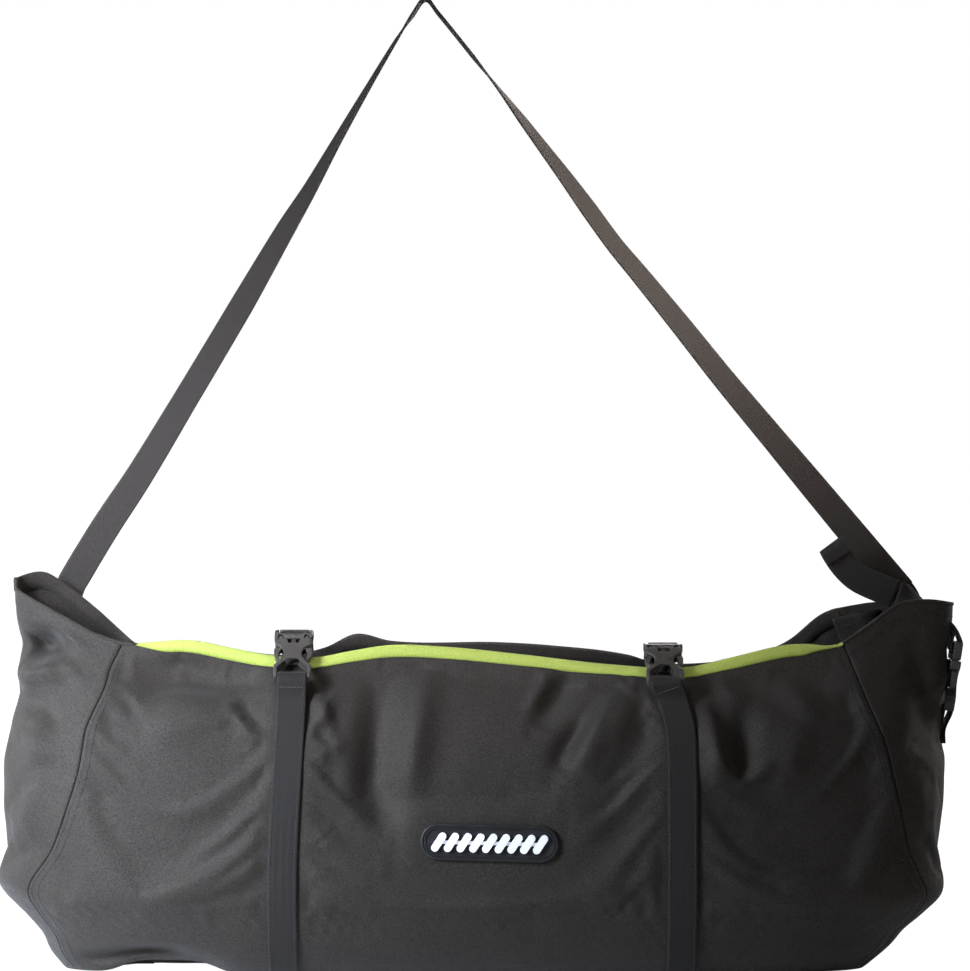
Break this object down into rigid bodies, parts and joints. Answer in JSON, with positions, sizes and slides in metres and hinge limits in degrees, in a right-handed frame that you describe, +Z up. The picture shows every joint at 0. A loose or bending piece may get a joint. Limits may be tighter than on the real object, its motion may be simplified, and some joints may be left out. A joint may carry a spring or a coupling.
{
  "type": "rope storage bag",
  "caption": "Boat-shaped fabric rope bag, open along the top and closed by webbing straps with side-release buckles, with ears at both ends and a shoulder strap.",
  "frame": {"origin": "on the floor, under the middle of the bag", "axes": "+Z up, +X along the bag to the right, the front with the badge faces -Y"},
  "size_m": [0.6738, 0.1696, 0.681],
  "materials": {
    "panel_fabric": "coated plain weave",
    "lime_tape": "woven tape",
    "webbing": "woven webbing",
    "buckle_plastic": "satin",
    "badge_rubber": "moulded matt",
    "badge_print": "moulded matt"
  },
  "bodies": {
    "root": {"front_panel": "panel_fabric", "back_panel": "panel_fabric", "left_end_panel": "panel_fabric", "right_end_panel": "panel_fabric", "bottom_panel": "panel_fabric", "back_mouth_binding": "panel_fabric", "front_mouth_binding": "lime_tape", "left_webbing_band": "webbing", "right_webbing_band": "webbing", "left_top_strap": "webbing", "right_top_strap": "webbing", "left_strap_tail": "webbing", "right_strap_tail": "webbing", "shoulder_strap_left_end": "webbing", "adjuster_strap": "webbing", "adjuster_tail_run": "webbing", "end_buckle_anchor": "webbing", "left_tie_in_tab": "webbing", "right_tie_in_tab": "webbing", "left_buckle_female": "buckle_plastic", "right_buckle_female": "buckle_plastic", "end_buckle_female": "buckle_plastic", "badge": "badge_rubber", "badge_mark": "badge_print"},
    "shoulder_strap_body": {"shoulder_strap": "webbing", "adjuster_tail": "webbing"},
    "left_tie_in_body": {"left_tie_in_loop": "webbing"},
    "right_tie_in_body": {"right_tie_in_loop": "webbing"},
    "left_male_body": {"left_buckle_male": "buckle_plastic"},
    "left_left_prong_body": {"left_buckle_left_prong": "buckle_plastic"},
    "left_right_prong_body": {"left_buckle_right_prong": "buckle_plastic"},
    "right_male_body": {"right_buckle_male": "buckle_plastic"},
    "right_left_prong_body": {"right_buckle_left_prong": "buckle_plastic"},
    "right_right_prong_body": {"right_buckle_right_prong": "buckle_plastic"},
    "end_male_body": {"end_buckle_male": "buckle_plastic"},
    "end_left_prong_body": {"end_buckle_left_prong": "buckle_plastic"},
    "end_right_prong_body": {"end_buckle_right_prong": "buckle_plastic"}
  },
  "joints": [
    {"name": "left_buckle_slide", "type": "slide", "parent": "root", "child": "left_male_body", "axis": [0, 0.7071, 0.7071], "range_m": [0, 0.026], "deforming": ["left_buckle_left_prong", "left_buckle_right_prong", "left_top_strap", "left_strap_tail"]},
    {"name": "left_left_prong_squeeze", "type": "hinge", "parent": "left_male_body", "child": "left_left_prong_body", "pos_m": [-0.13704, -0.03236, 0.23156], "axis": [0, -0.7071, 0.7071], "range_deg": [0, 13], "stiffness_Nm_per_rad": 0.03},
    {"name": "left_right_prong_squeeze", "type": "hinge", "parent": "left_male_body", "child": "left_right_prong_body", "pos_m": [-0.11904, -0.03236, 0.23156], "axis": [0, -0.7071, 0.7071], "range_deg": [-13, 0], "stiffness_Nm_per_rad": 0.03},
    {"name": "right_buckle_slide", "type": "slide", "parent": "root", "child": "right_male_body", "axis": [0, 0.8192, 0.5736], "range_m": [0, 0.026], "deforming": ["right_buckle_left_prong", "right_buckle_right_prong", "right_top_strap", "right_strap_tail"]},
    {"name": "right_left_prong_squeeze", "type": "hinge", "parent": "right_male_body", "child": "right_left_prong_body", "pos_m": [0.11796, -0.03114, 0.22439], "axis": [0, -0.5736, 0.8192], "range_deg": [0, 13], "stiffness_Nm_per_rad": 0.03},
    {"name": "right_right_prong_squeeze", "type": "hinge", "parent": "right_male_body", "child": "right_right_prong_body", "pos_m": [0.13596, -0.03114, 0.22439], "axis": [0, -0.5736, 0.8192], "range_deg": [-13, 0], "stiffness_Nm_per_rad": 0.03},
    {"name": "end_buckle_slide", "type": "slide", "parent": "root", "child": "end_male_body", "axis": [0.1513, 0, 0.9885], "range_m": [0, 0.026], "deforming": ["end_buckle_left_prong", "end_buckle_right_prong", "adjuster_strap", "adjuster_tail_run"]},
    {"name": "end_left_prong_squeeze", "type": "hinge", "parent": "end_male_body", "child": "end_left_prong_body", "pos_m": [0.33225, -0.00761, 0.21761], "axis": [0.9885, 0, -0.1513], "range_deg": [0, 13], "stiffness_Nm_per_rad": 0.03},
    {"name": "end_right_prong_squeeze", "type": "hinge", "parent": "end_male_body", "child": "end_right_prong_body", "pos_m": [0.33225, 0.01039, 0.21761], "axis": [0.9885, 0, -0.1513], "range_deg": [-13, 0], "stiffness_Nm_per_rad": 0.03},
    {"name": "shoulder_strap_swing", "type": "hinge", "parent": "root", "child": "shoulder_strap_body", "pos_m": [-0.28504, 0.03139, 0.27502], "axis": [0.9989, -0.0413, -0.0206], "range_deg": [-100, 85], "deforming": ["shoulder_strap_left_end"]},
    {"name": "left_tie_in_lift", "type": "hinge", "parent": "root", "child": "left_tie_in_body", "pos_m": [-0.22444, 0.00139, 0.00752], "axis": [0, -1, 0], "range_deg": [0, 115]},
    {"name": "right_tie_in_lift", "type": "hinge", "parent": "root", "child": "right_tie_in_body", "pos_m": [0.21236, 0.00139, 0.00752], "axis": [0, 1, 0], "range_deg": [0, 115]}
  ],
  "couplings": [
    {"joint": "left_right_prong_squeeze", "follows": "left_left_prong_squeeze", "ratio": -1},
    {"joint": "right_right_prong_squeeze", "follows": "right_left_prong_squeeze", "ratio": -1},
    {"joint": "end_right_prong_squeeze", "follows": "end_left_prong_squeeze", "ratio": -1}
  ]
}
